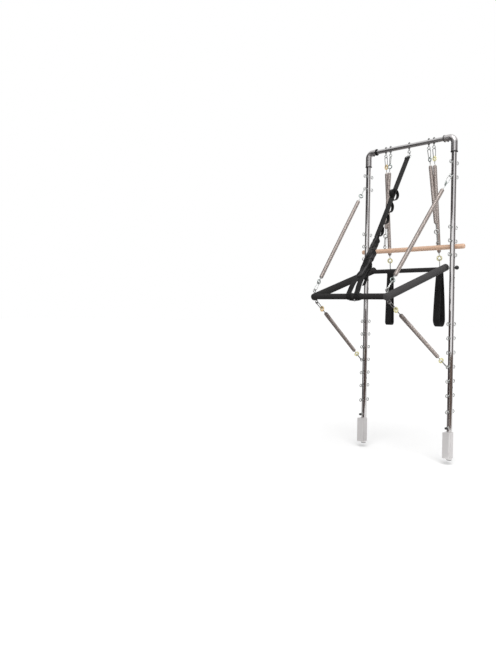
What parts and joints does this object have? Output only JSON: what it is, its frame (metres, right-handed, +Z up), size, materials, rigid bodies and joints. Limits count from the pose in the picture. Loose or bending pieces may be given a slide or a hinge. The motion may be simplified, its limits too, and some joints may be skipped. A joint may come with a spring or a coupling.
{
  "type": "pilates tower unit",
  "caption": "Tubular portal frame for a pilates reformer's end, with spring eyes, a sprung push-through bar, a hanging wooden roll-down bar, hand loops and a safety strap.",
  "frame": {"origin": "midway between the two uprights' axes, level with the bottom of the brackets that clamp them to the reformer's end", "axes": "+X to the right upright seen from the reformer, +Y to the rear, away from the reformer, +Z up"},
  "size_m": [0.752, 0.6956, 1.9486],
  "materials": {
    "chrome": "polished chrome plating",
    "spring_steel": "drawn steel wire, warm grey",
    "aluminium": "satin extruded aluminium",
    "black_plastic": "moulded black plastic",
    "grey_foam": "dark grey closed-cell foam",
    "black_foam": "near black closed-cell foam",
    "webbing": "black woven webbing",
    "beech": "light lacquered beech"
  },
  "bodies": {
    "tower_frame": {"upright_left": "chrome", "upright_right": "chrome", "crossbar": "chrome", "elbow_left": "chrome", "elbow_right": "chrome", "bracket_left": "aluminium", "bracket_right": "aluminium", "foot_plug_left": "black_plastic", "foot_plug_right": "black_plastic", "crossbar_eye_1": "chrome", "crossbar_eye_2": "chrome", "crossbar_eye_3": "chrome", "crossbar_eye_4": "chrome", "crossbar_eye_5": "chrome", "upper_hook_left": "chrome", "upper_hook_right": "chrome", "lower_hook_left": "chrome", "lower_hook_right": "chrome", "upper_spring_left": "spring_steel", "upper_spring_right": "spring_steel", "lower_spring_left": "spring_steel", "lower_spring_right": "spring_steel", "strap_hook": "chrome", "safety_strap": "webbing"},
    "push_through_bar": {"push_bar_frame": "chrome", "front_grip": "black_foam", "rear_grip": "black_foam", "arm_grip_left": "grey_foam", "arm_grip_right": "grey_foam", "arm_plug_left": "black_plastic", "arm_plug_right": "black_plastic", "corner_eye_left": "chrome", "corner_eye_right": "chrome", "corner_hook_top_left": "chrome", "corner_hook_top_right": "chrome", "corner_hook_bottom_left": "chrome", "corner_hook_bottom_right": "chrome"},
    "roll_down_bar": {"roll_down_bar": "beech", "roll_bar_eye_left": "chrome", "roll_bar_eye_right": "chrome", "bar_spring_left": "spring_steel", "bar_spring_right": "spring_steel", "bar_spring_top_hook_left": "chrome", "bar_spring_top_hook_right": "chrome", "bar_spring_bottom_hook_left": "chrome", "bar_spring_bottom_hook_right": "chrome"},
    "loop_spring_left": {"loop_spring_left": "spring_steel", "loop_spring_top_hook_left": "chrome", "loop_spring_bottom_hook_left": "chrome"},
    "hand_loop_left": {"loop_ring_left": "chrome", "hand_loop_left": "webbing"},
    "pivot_pin_left": {"pivot_pin_left": "black_plastic"},
    "lock_knob_left": {"lock_knob_left": "black_plastic"},
    "loop_spring_right": {"loop_spring_right": "spring_steel", "loop_spring_top_hook_right": "chrome", "loop_spring_bottom_hook_right": "chrome"},
    "hand_loop_right": {"loop_ring_right": "chrome", "hand_loop_right": "webbing"},
    "pivot_pin_right": {"pivot_pin_right": "black_plastic"},
    "lock_knob_right": {"lock_knob_right": "black_plastic"}
  },
  "joints": [
    {"name": "push_bar_pivot", "type": "hinge", "parent": "tower_frame", "child": "push_through_bar", "pos_m": [0, 0, 1.128], "axis": [-1, 0, 0], "range_deg": [0, 60], "stiffness_Nm_per_rad": 60, "deforming": ["upper_spring_left", "upper_spring_right", "lower_spring_left", "lower_spring_right", "safety_strap"]},
    {"name": "roll_bar_swing", "type": "hinge", "parent": "tower_frame", "child": "roll_down_bar", "pos_m": [0, 0, 1.8648], "axis": [1, 0, 0], "range_deg": [0, 40]},
    {"name": "loop_spring_swing_left", "type": "hinge", "parent": "roll_down_bar", "child": "loop_spring_left", "pos_m": [-0.177, 0, 1.8648], "axis": [1, 0, 0], "range_deg": [0, 30]},
    {"name": "hand_loop_pivot_left", "type": "hinge", "parent": "loop_spring_left", "child": "hand_loop_left", "pos_m": [-0.183, 0.081, 1.136], "axis": [1, 0, 0], "range_deg": [-25, 25]},
    {"name": "pin_pull_left", "type": "slide", "parent": "tower_frame", "child": "pivot_pin_left", "axis": [-1, 0, 0], "range_m": [0, 0.04], "stiffness_N_per_m": 400},
    {"name": "lock_knob_turn_left", "type": "hinge", "parent": "tower_frame", "child": "lock_knob_left", "pos_m": [-0.315, -0.04, 0.178], "axis": [0, -1, 0], "continuous": true},
    {"name": "loop_spring_swing_right", "type": "hinge", "parent": "roll_down_bar", "child": "loop_spring_right", "pos_m": [0.177, 0, 1.8648], "axis": [1, 0, 0], "range_deg": [0, 30]},
    {"name": "hand_loop_pivot_right", "type": "hinge", "parent": "loop_spring_right", "child": "hand_loop_right", "pos_m": [0.183, 0.081, 1.136], "axis": [1, 0, 0], "range_deg": [-25, 25]},
    {"name": "pin_pull_right", "type": "slide", "parent": "tower_frame", "child": "pivot_pin_right", "axis": [1, 0, 0], "range_m": [0, 0.04], "stiffness_N_per_m": 400},
    {"name": "lock_knob_turn_right", "type": "hinge", "parent": "tower_frame", "child": "lock_knob_right", "pos_m": [0.315, -0.04, 0.178], "axis": [0, -1, 0], "continuous": true}
  ]
}
